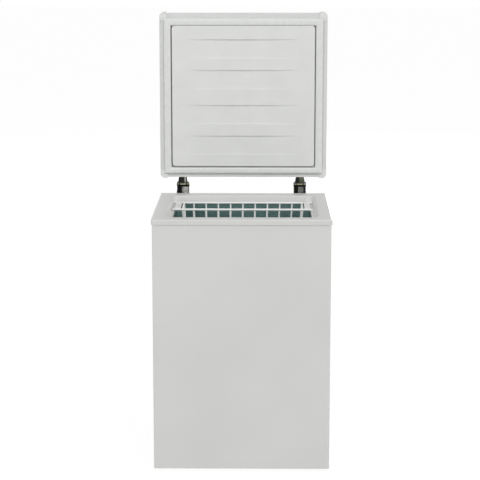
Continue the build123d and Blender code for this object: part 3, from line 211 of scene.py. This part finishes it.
# Collar round the mouth and tray of the control panel: white polystyrene, injection moulded.
# The collar is one frame that snaps over the sheet metal. Both have the satin skin of a fine
# spark-eroded mould, drawn at 2 mm.
satin_grain = 0.002
drift_width = 0.2
collar_plastic, tree, shader, place = new_finish(
    "white_moulded_polystyrene", Roughness=0.42, IOR=1.59
)
grain = add_node(
    tree, "ShaderNodeTexNoise", {"Vector": place, "Scale": 1 / satin_grain, "Detail": 2.0}
)
drift = add_node(
    tree, "ShaderNodeTexNoise", {"Vector": place, "Scale": 1 / drift_width, "Detail": 2.0}
)
white = add_node(tree, "ShaderNodeValToRGB", {"Fac": drift.outputs["Fac"]})
white.color_ramp.elements[0].position = 0.3
white.color_ramp.elements[0].color = linear("#cdcdcb")
white.color_ramp.elements[1].position = 0.7
white.color_ramp.elements[1].color = linear("#d1d1cf")
bump = add_node(
    tree, "ShaderNodeBump", {"Height": grain.outputs["Fac"], "Strength": 0.12, "Distance": 0.0003}
)
tree.links.new(white.outputs["Color"], shader.inputs["Base Color"])
tree.links.new(bump.outputs["Normal"], shader.inputs["Normal"])
dress(collar_plastic, "top_collar", "control_bezel")


# Scale of the control panel: seven raised dashes moulded in the tray round the knob and printed
# grey, longer towards the cold end, and a white line let into the knob's grip as its pointer.
def add_piece(shape, name, finish, body):
    """Turns a finished bmesh into a piece that rides on a body."""
    data = bpy.data.meshes.new(name)
    shape.to_mesh(data)
    shape.free()
    data.materials.append(finish)
    piece = bpy.data.objects.new(name, data)
    bpy.context.collection.objects.link(piece)
    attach(piece, body)
    return piece


def add_bar(shape, size, offset):
    """A bar of a size, its middle moved by an offset. Returns its vertices."""
    bar = bmesh.ops.create_cube(shape, size=1.0)["verts"]
    bmesh.ops.scale(shape, vec=size, verts=bar)
    bmesh.ops.translate(shape, vec=offset, verts=bar)
    return bar


def round_edges(shape, radius):
    """Takes the edge off all of a shape."""
    bmesh.ops.bevel(
        shape, geom=shape.edges[:], offset=radius, offset_type="OFFSET", affect="EDGES",
        segments=2, profile=0.5, material=-1,
    )


tray_wall = 0.002
dash_count = 7
dash_height = 0.0012
dash_width = 0.0014
shortest_dash = 0.0025
dash_growth = 0.0005
dash_circle = 0.0235
first_angle = 135
angle_between = 45
trim_edge = 0.0003
tray_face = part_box("control_bezel")[0].x + tray_wall
low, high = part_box("thermostat_knob")
knob_middle = Vector((tray_face, (low.y + high.y) / 2, (low.z + high.z) / 2))
scale_dashes = bmesh.new()
for step in range(dash_count):
    length = shortest_dash + dash_growth * step
    dash_middle = (0, 0, dash_circle + length / 2)
    dash = add_bar(scale_dashes, (dash_height, dash_width, length), dash_middle)
    turn = Matrix.Rotation(math.radians(first_angle - angle_between * step), 3, "X")
    bmesh.ops.rotate(scale_dashes, cent=(0, 0, 0), matrix=turn, verts=dash)
bmesh.ops.translate(scale_dashes, vec=knob_middle, verts=scale_dashes.verts)
round_edges(scale_dashes, trim_edge)

# The print is dull, and a little blotched at about a millimetre.
blot_size = 0.00111
dash_ink, tree, shader, place = new_finish("grey_pad_print", Roughness=0.55, IOR=1.5)
blot = add_node(tree, "ShaderNodeTexNoise", {"Vector": place, "Scale": 1 / blot_size, "Detail": 2.0})
ink = add_node(tree, "ShaderNodeValToRGB", {"Fac": blot.outputs["Fac"]})
ink.color_ramp.elements[0].color = linear("#4c5052")
ink.color_ramp.elements[1].color = linear("#64686a")
tree.links.new(ink.outputs["Color"], shader.inputs["Base Color"])
add_piece(scale_dashes, "control_scale", dash_ink, "cabinet")

pointer_size = (0.0010, 0.0016, 0.0120)
pointer_sink = 0.0002
pointer_drop = 0.0100
pointer = bmesh.new()
add_bar(pointer, pointer_size, (high.x - pointer_sink, knob_middle.y, high.z - pointer_drop))
round_edges(pointer, trim_edge)
add_piece(pointer, "knob_pointer", collar_plastic, "knob")


# Compressor and hinge channels: black stove enamel over pressed steel, with a soft gloss.
# It is rubbed to a greyer tone in places, and speckled by the spray at 5 or 6 mm.
speckle_size = 0.00556
black_enamel, tree, shader, place = new_finish(
    "black_stove_enamel", IOR=1.5, Specular_IOR_Level=0.25
)
speckle = add_node(
    tree, "ShaderNodeTexNoise", {"Vector": place, "Scale": 1 / speckle_size, "Detail": 3.0}
)
black = add_node(tree, "ShaderNodeValToRGB", {"Fac": speckle.outputs["Fac"]})
black.color_ramp.elements[0].color = linear("#0f100f")
black.color_ramp.elements[1].color = linear("#232422")
sheen = add_node(
    tree, "ShaderNodeMapRange", {"Value": speckle.outputs["Fac"], "To Min": 0.28, "To Max": 0.5}
)
tree.links.new(black.outputs["Color"], shader.inputs["Base Color"])
tree.links.new(sheen.outputs["Result"], shader.inputs["Roughness"])
dress(black_enamel, "compressor", "hinge_body_left", "hinge_body_right")


# Lid arms of the hinges: pressed steel, plated, enamelled black and screwed to the lid.
# Along one side of each web the enamel shows grey-green plating, partly rubbed and partly
# painted light: lighter towards the lid, painted shade towards the pivot, darker on the right arm.
# A strip has its distance from the web's middle, its half width and the plating's two tones.
worn_and_lit_strips = (
    ("hinge_arm_left", 0.0080, 0.0022, "#7f857b", "#b9beb3"),
    ("hinge_arm_right", 0.0060, 0.0064, "#43483a", "#686e5b"),
)
strip_fade = 0.0022
foot_margin = 0.012
top_margin = 0.010
least_wear_and_light = 0.12
for name, shift, half_width, dull, bright in worn_and_lit_strips:
    low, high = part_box(name)
    arm_finish, tree, shader, place = new_finish(
        "enamelled_" + name, Roughness=0.38, IOR=1.5, Specular_IOR_Level=0.25
    )
    axes = add_node(tree, "ShaderNodeSeparateXYZ", {"Vector": place})
    strip_middle = (low.x + high.x) / 2 + shift
    aside = add_node(
        tree, "ShaderNodeMath", {0: axes.outputs["X"], 1: strip_middle}, operation="SUBTRACT"
    )
    aside = add_node(tree, "ShaderNodeMath", {0: aside.outputs[0]}, operation="ABSOLUTE")
    strip = add_node(
        tree, "ShaderNodeMapRange",
        {
            "Value": aside.outputs[0], "From Min": half_width, "From Max": half_width + strip_fade,
            "To Min": 1.0, "To Max": 0.0,
        },
    )
    # Painted light and shade: the strip brightens towards the lid and darkens to enamel at the foot.
    wear_and_light = add_node(
        tree, "ShaderNodeMapRange",
        {
            "Value": axes.outputs["Z"], "From Min": low.z + foot_margin,
            "From Max": high.z - top_margin, "To Min": least_wear_and_light,
        },
    )
    plating_and_light = add_node(
        tree, "ShaderNodeMath", {0: strip.outputs["Result"], 1: wear_and_light.outputs["Result"]},
        operation="MULTIPLY",
    )
    speckle = add_node(
        tree, "ShaderNodeTexNoise", {"Vector": place, "Scale": 1 / speckle_size, "Detail": 3.0}
    )
    plated = add_node(tree, "ShaderNodeValToRGB", {"Fac": speckle.outputs["Fac"]})
    plated.color_ramp.elements[0].color = linear(dull)
    plated.color_ramp.elements[1].color = linear(bright)
    black = add_node(tree, "ShaderNodeValToRGB", {"Fac": speckle.outputs["Fac"]})
    black.color_ramp.elements[0].color = linear("#0a0b0a")
    black.color_ramp.elements[1].color = linear("#191a18")
    coat = add_node(
        tree, "ShaderNodeMix",
        {0: plating_and_light.outputs[0], 6: black.outputs["Color"], 7: plated.outputs["Color"]},
        data_type="RGBA",
    )
    tree.links.new(coat.outputs[2], shader.inputs["Base Color"])
    dress(arm_finish, name)


# Relay cover and thermostat body: black glass-filled nylon, moulded with a dull skin.
# The filler leaves short pale streaks that follow the flow of the melt.
streak_length = 0.0167
streak_width = 0.0025
nylon, tree, shader, place = new_finish("black_filled_nylon", Roughness=0.6, IOR=1.53)
flow = add_node(
    tree, "ShaderNodeMapping",
    {"Vector": place, "Scale": (1 / streak_length, 1 / streak_width, 1 / streak_length)},
)
streak = add_node(
    tree, "ShaderNodeTexNoise", {"Vector": flow.outputs["Vector"], "Scale": 1.0, "Detail": 3.0}
)
soot = add_node(tree, "ShaderNodeValToRGB", {"Fac": streak.outputs["Fac"]})
soot.color_ramp.elements[0].color = linear("#141414")
soot.color_ramp.elements[1].color = linear("#2a2a2a")
tree.links.new(soot.outputs["Color"], shader.inputs["Base Color"])
dress(nylon, "relay_box", "thermostat")


# Pilot lamps: three domed lenses of tinted acrylic, pushed into the control tray one above
# another. From the top they are green, orange and red, and the tint is a little uneven.
orange_from = 0.36
green_from = 0.68
cloud_size = 0.004
lens_tint, tree, shader, place = new_finish("tinted_acrylic", Roughness=0.15, IOR=1.49)
height = add_node(tree, "ShaderNodeSeparateXYZ", {"Vector": place}).outputs["Z"]
low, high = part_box("indicator_lenses")
part = add_node(
    tree, "ShaderNodeMapRange", {"Value": height, "From Min": low.z, "From Max": high.z}
)
tint = add_node(tree, "ShaderNodeValToRGB", {"Fac": part.outputs["Result"]})
tint.color_ramp.interpolation = "CONSTANT"
tint.color_ramp.elements[0].color = linear("#b3261e")
tint.color_ramp.elements[1].position = orange_from
tint.color_ramp.elements[1].color = linear("#d9822b")
tint.color_ramp.elements.new(green_from).color = linear("#2f9e44")
cloud = add_node(
    tree, "ShaderNodeTexNoise", {"Vector": place, "Scale": 1 / cloud_size, "Detail": 2.0}
)
depth = add_node(tree, "ShaderNodeValToRGB", {"Fac": cloud.outputs["Fac"]})
depth.color_ramp.elements[0].position = 0.3
depth.color_ramp.elements[0].color = linear("#c4c4c4")
depth.color_ramp.elements[1].position = 0.7
depth.color_ramp.elements[1].color = linear("#ffffff")
dyed = add_node(
    tree, "ShaderNodeMix", {0: 1.0, 6: tint.outputs["Color"], 7: depth.outputs["Color"]},
    data_type="RGBA", blend_type="MULTIPLY",
)
tree.links.new(dyed.outputs[2], shader.inputs["Base Color"])
dress(lens_tint, "indicator_lenses")


# Screws and bolts: steel, zinc plated and yellow passivated.
# The passivation gives a greenish straw colour that drifts along each piece.
straw_width = 0.00833
zinc, tree, shader, place = new_finish("passivated_zinc", Metallic=1.0, Roughness=0.34)
drift = add_node(
    tree, "ShaderNodeTexNoise", {"Vector": place, "Scale": 1 / straw_width, "Detail": 3.0}
)
straw = add_node(tree, "ShaderNodeValToRGB", {"Fac": drift.outputs["Fac"]})
straw.color_ramp.elements[0].position = 0.3
straw.color_ramp.elements[0].color = linear("#c2be98")
straw.color_ramp.elements[1].position = 0.7
straw.color_ramp.elements[1].color = linear("#ece6cc")
tree.links.new(straw.outputs["Color"], shader.inputs["Base Color"])
dress(zinc, "hinge_cabinet_screws", "hinge_lid_screws", "vent_cover_screws", "compressor_bolts")


# Hinge pins, springs and bushes: the same passivated zinc on steel, riveted into the channels.
# The lower half, below the axle, is painted dark as shade, so only the upper half shines.
shade_fade = 0.0016
low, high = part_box("hinge_pin_left")
axle_height = (low.z + high.z) / 2
shaded_zinc, tree, shader, place = new_finish(
    "half_shaded_passivated_zinc", Metallic=0.7, Roughness=0.34
)
drift = add_node(
    tree, "ShaderNodeTexNoise", {"Vector": place, "Scale": 1 / straw_width, "Detail": 3.0}
)
straw = add_node(tree, "ShaderNodeValToRGB", {"Fac": drift.outputs["Fac"]})
straw.color_ramp.elements[0].position = 0.3
straw.color_ramp.elements[0].color = linear("#cfcb9e")
straw.color_ramp.elements[1].position = 0.7
straw.color_ramp.elements[1].color = linear("#f6f0dc")
height = add_node(tree, "ShaderNodeSeparateXYZ", {"Vector": place}).outputs["Z"]
# Painted shade: dark below the axle, the zinc's own straw colour above it.
lit_share = add_node(
    tree, "ShaderNodeMapRange",
    {"Value": height, "From Min": axle_height, "From Max": axle_height + shade_fade},
)
shaded_colour = add_node(
    tree, "ShaderNodeMix",
    {0: lit_share.outputs["Result"], 6: linear("#24231a"), 7: straw.outputs["Color"]},
    data_type="RGBA",
)
tree.links.new(shaded_colour.outputs[2], shader.inputs["Base Color"])
dress(
    shaded_zinc, "hinge_pin_left", "hinge_pin_right", "hinge_spring_left", "hinge_spring_right",
    "hinge_spacers",
)


# Stop plates in the hinge channels: bright zinc-plated steel, riveted in below the springs.
# The springs have scored them, in slanting dark lines. The outer edge of the left-hand one and
# all of the right-hand one are painted dark as shade.
plate_width = 0.0224
score_slant = 35
score_length = 0.0111
score_width = 0.00238
low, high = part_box("hinge_spring_plates")
left_lit_from = low.x + 0.45 * plate_width
right_shade_from = high.x - 0.35 * plate_width
right_shade_full = high.x - 0.10 * plate_width
plate_zinc, tree, shader, place = new_finish("scored_bright_zinc", Metallic=0.3, Roughness=0.36)
slant = add_node(
    tree, "ShaderNodeMapping",
    {
        "Vector": place, "Rotation": (0, math.radians(score_slant), 0),
        "Scale": (1 / score_length, 1 / score_length, 1 / score_width),
    },
)
scores = add_node(
    tree, "ShaderNodeTexNoise", {"Vector": slant.outputs["Vector"], "Scale": 1.0, "Detail": 3.0}
)
bright = add_node(tree, "ShaderNodeValToRGB", {"Fac": scores.outputs["Fac"]})
bright.color_ramp.elements[0].position = 0.36
bright.color_ramp.elements[0].color = linear("#b4b8af")
bright.color_ramp.elements[1].position = 0.56
bright.color_ramp.elements[1].color = linear("#fafaf7")
across = add_node(tree, "ShaderNodeSeparateXYZ", {"Vector": place}).outputs["X"]
# Painted shade: darker towards the left-hand plate's outer edge and over nearly all of the right-hand
# plate.
left_lit = add_node(
    tree, "ShaderNodeMapRange",
    {"Value": across, "From Min": low.x, "From Max": left_lit_from, "To Min": 0.3},
)
right_lit = add_node(
    tree, "ShaderNodeMapRange",
    {
        "Value": across, "From Min": right_shade_from, "From Max": right_shade_full,
        "To Min": 0.42, "To Max": 0.03,
    },
)
is_right = add_node(tree, "ShaderNodeMath", {0: across, 1: 0.0}, operation="GREATER_THAN")
lit_share = add_node(
    tree, "ShaderNodeMix",
    {0: is_right.outputs[0], 2: left_lit.outputs["Result"], 3: right_lit.outputs["Result"]},
)
shaded_colour = add_node(
    tree, "ShaderNodeMix",
    {0: lit_share.outputs[0], 6: linear("#171813"), 7: bright.outputs["Color"]}, data_type="RGBA",
)
tree.links.new(shaded_colour.outputs[2], shader.inputs["Base Color"])
dress(plate_zinc, "hinge_spring_plates")


# Lid liner and corner caps: white polystyrene, the liner drawn from sheet by vacuum over a mould
# and the caps pushed on. The skin is satin, with the slow waves, a hand wide, that forming leaves.
wave_width = 0.0833
formed_plastic, tree, shader, place = new_finish(
    "white_formed_polystyrene", Roughness=0.45, IOR=1.59
)
waves = add_node(
    tree, "ShaderNodeTexNoise", {"Vector": place, "Scale": 1 / wave_width, "Detail": 1.0}
)
pale = add_node(tree, "ShaderNodeValToRGB", {"Fac": waves.outputs["Fac"]})
pale.color_ramp.elements[0].position = 0.3
pale.color_ramp.elements[0].color = linear("#d7d8d6")
pale.color_ramp.elements[1].position = 0.7
pale.color_ramp.elements[1].color = linear("#dbdcda")
bump = add_node(
    tree, "ShaderNodeBump", {"Height": waves.outputs["Fac"], "Strength": 0.1, "Distance": 0.002}
)
tree.links.new(pale.outputs["Color"], shader.inputs["Base Color"])
tree.links.new(bump.outputs["Normal"], shader.inputs["Normal"])
dress(formed_plastic, "lid_liner", "lid_corner_caps")


# Lid gasket: soft white PVC, extruded with a crowned face on a hollow bulb, cut at 45 degrees
# and welded into a frame whose dart is pushed into the groove round the lid's liner.
# Pushed in by hand, its four runs are squeezed or spread by up to 2 mm in width.
low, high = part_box("lid_gasket")
seal_height = high.y - low.y
neck_inset = 0.0020
neck_height = 0.0028
lip_inset = 0.0003
lip_height = 0.0031
bulge_height = 0.0048
crown_width = 0.0095
crown_steps = 5
squareness = 2.5
half_section = [(neck_inset, 0.0), (neck_inset, neck_height), (lip_inset, lip_height)]
for step in range(crown_steps + 1):
    angle = math.radians(90 * step / crown_steps)
    inward = crown_width * (1 - math.cos(angle) ** (2 / squareness))
    rise = bulge_height + (seal_height - bulge_height) * math.sin(angle) ** (2 / squareness)
    half_section.append((inward, rise))
seal_width = 0.0230
left_width = 0.0236
right_width = 0.0242
bottom_width = 0.0217
top_width = 0.0247
section = half_section + [(seal_width - inward, rise) for inward, rise in reversed(half_section)]
seal = bmesh.new()
rings = []
for side_x, side_z in ((-1, -1), (1, -1), (1, 1), (-1, 1)):
    corner_x, width_x = (low.x, left_width) if side_x < 0 else (high.x, right_width)
    corner_z, width_z = (low.z, bottom_width) if side_z < 0 else (high.z, top_width)
    ring = []
    for inward, rise in section:
        x = corner_x - side_x * inward * width_x / seal_width
        z = corner_z - side_z * inward * width_z / seal_width
        ring.append(seal.verts.new((x, high.y - rise, z)))
    rings.append([seal.edges.new((ring[i - 1], ring[i])) for i in range(len(ring))])
for i in range(len(rings)):
    bmesh.ops.bridge_loops(seal, edges=rings[i - 1] + rings[i])
bmesh.ops.recalc_face_normals(seal, faces=seal.faces)
for face in seal.faces:
    face.smooth = True
for ring in rings:
    for edge in ring:
        edge.smooth = False

# The PVC is matt, a little greyer than the lid, and dirty in patches a centimetre wide.
dirt_width = 0.0111
soft_pvc, tree, shader, place = new_finish("soft_white_pvc", Roughness=0.6, IOR=1.53)
dirt = add_node(tree, "ShaderNodeTexNoise", {"Vector": place, "Scale": 1 / dirt_width, "Detail": 4.0})
milk = add_node(tree, "ShaderNodeValToRGB", {"Fac": dirt.outputs["Fac"]})
milk.color_ramp.elements[0].position = 0.3
milk.color_ramp.elements[0].color = linear("#d4d6d3")
milk.color_ramp.elements[1].position = 0.7
milk.color_ramp.elements[1].color = linear("#dbddda")
tree.links.new(milk.outputs["Color"], shader.inputs["Base Color"])
mitred_gasket = add_piece(seal, "mitred_gasket", soft_pvc, "lid")
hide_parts("lid_gasket")


# Basket: steel wire, spot welded at each crossing and dipped in white polyethylene.
# The coat is glossy, and thick enough to round the welds.
ripple_size = 0.00667
wire_coat, tree, shader, place = new_finish("white_dipped_wire", Roughness=0.3, IOR=1.51)
dip = add_node(tree, "ShaderNodeTexNoise", {"Vector": place, "Scale": 1 / ripple_size, "Detail": 2.0})
coat = add_node(tree, "ShaderNodeValToRGB", {"Fac": dip.outputs["Fac"]})
coat.color_ramp.elements[0].color = linear("#ebecea")
coat.color_ramp.elements[1].color = linear("#f4f4f2")
bump = add_node(
    tree, "ShaderNodeBump", {"Height": dip.outputs["Fac"], "Strength": 0.2, "Distance": 0.0005}
)
tree.links.new(coat.outputs["Color"], shader.inputs["Base Color"])
tree.links.new(bump.outputs["Normal"], shader.inputs["Normal"])
dress(
    wire_coat, "basket_frame", "basket_front", "basket_rear", "basket_left", "basket_right",
    "basket_floor",
)


# Basket grips: strips of white polypropylene, moulded and pushed on between the frame's long
# wires at each end. They are coloured brighter than the collar as painted light against the shade
# of its pocket, with a matt skin, its grain about 2 mm.
grip_grain = 0.00222
grip_plastic, tree, shader, place = new_finish(
    "white_moulded_polypropylene", Roughness=0.4, IOR=1.49
)
skin = add_node(tree, "ShaderNodeTexNoise", {"Vector": place, "Scale": 1 / grip_grain, "Detail": 2.0})
bright = add_node(tree, "ShaderNodeValToRGB", {"Fac": skin.outputs["Fac"]})
# Painted light: a paler white than the collar, to lift the shade where the grips lie.
bright.color_ramp.elements[0].color = linear("#e4e4e2")
bright.color_ramp.elements[1].color = linear("#ecece9")
bump = add_node(
    tree, "ShaderNodeBump", {"Height": skin.outputs["Fac"], "Strength": 0.1, "Distance": 0.0003}
)
tree.links.new(bright.outputs["Color"], shader.inputs["Base Color"])
tree.links.new(bump.outputs["Normal"], shader.inputs["Normal"])
dress(grip_plastic, "basket_grip_left", "basket_grip_right")


# Studio: a pale floor that runs out of sight, white behind the object for the camera and for
# reflections, and soft light from the front, from both sides and from behind.
floor_reach = 40.0
floor_glow = 1.16
glow_share = 0.8
floor_mesh = bmesh.new()
bmesh.ops.create_grid(floor_mesh, x_segments=1, y_segments=1, size=floor_reach)
floor_data = bpy.data.meshes.new("studio_floor")
floor_mesh.to_mesh(floor_data)
floor_mesh.free()
studio_floor = bpy.data.objects.new("studio_floor", floor_data)
bpy.context.collection.objects.link(studio_floor)
pale_floor, tree, shader, place = new_finish(
    "pale_floor", Base_Color=linear("#bcbcbc"), Roughness=0.9
)
rays = add_node(tree, "ShaderNodeLightPath")
seen = add_node(
    tree, "ShaderNodeMath", {0: rays.outputs["Is Camera Ray"], 1: rays.outputs["Is Glossy Ray"]},
    operation="MAXIMUM",
)
glow = add_node(tree, "ShaderNodeEmission", {"Color": (1, 1, 1, 1), "Strength": floor_glow})
share = add_node(tree, "ShaderNodeMath", {0: seen.outputs[0], 1: glow_share}, operation="MULTIPLY")
both = add_node(
    tree, "ShaderNodeMixShader", {0: share.outputs[0], 1: shader.outputs[0], 2: glow.outputs[0]}
)
tree.links.new(both.outputs[0], tree.nodes["Material Output"].inputs["Surface"])
floor_data.materials.append(pale_floor)

sky_light = 0.45
sky_white = 1.0
world = bpy.data.worlds.new("studio_world")
world.use_nodes = True
bpy.context.scene.world = world
tree = world.node_tree
rays = add_node(tree, "ShaderNodeLightPath")
seen = add_node(
    tree, "ShaderNodeMath", {0: rays.outputs["Is Camera Ray"], 1: rays.outputs["Is Glossy Ray"]},
    operation="MAXIMUM",
)
seen = add_node(
    tree, "ShaderNodeMath", {0: seen.outputs[0], 1: rays.outputs["Is Transmission Ray"]},
    operation="MAXIMUM",
)
level = add_node(
    tree, "ShaderNodeMapRange",
    {"Value": seen.outputs[0], "To Min": sky_light, "To Max": sky_white},
)
sky = tree.nodes["Background"]
sky.inputs["Color"].default_value = (1, 1, 1, 1)
tree.links.new(level.outputs["Result"], sky.inputs["Strength"])


def lamp(name, place, aim, size, power):
    """A square soft light that faces a point."""
    data = bpy.data.lights.new(name, "AREA")
    data.size = size
    data.energy = power
    light = bpy.data.objects.new(name, data)
    bpy.context.collection.objects.link(light)
    light.location = place
    light.rotation_euler = (Vector(aim) - Vector(place)).to_track_quat("-Z", "Y").to_euler()


rim_middle = (0, 0, 0.8)
back_middle = (0, 0, 0.7)
lamp("key_light", (3.2, -8.4, 8.0), rim_middle, 3.0, 372)
lamp("left_light", (-5.0, -7.5, 3.2), rim_middle, 3.0, 233)
lamp("left_side_light", (-8.0, -1.5, 3.0), rim_middle, 3.0, 78)
lamp("right_side_light", (8.0, -1.5, 3.0), rim_middle, 3.0, 190)
lamp("back_light", (2.0, 9.0, 0.45), back_middle, 0.8, 260)

look_down = 10.343
look_left = 0.678
camera_data = bpy.data.cameras.new("camera")
camera_data.sensor_width = 36.0
camera_data.lens = 120.59
camera = bpy.data.objects.new("camera", camera_data)
bpy.context.collection.objects.link(camera)
camera.location = (0.053, -5.188, 1.639)
camera.rotation_euler = (math.radians(90 - look_down), 0.0, math.radians(look_left))
bpy.context.scene.camera = camera
bpy.context.scene.view_settings.view_transform = "Standard"
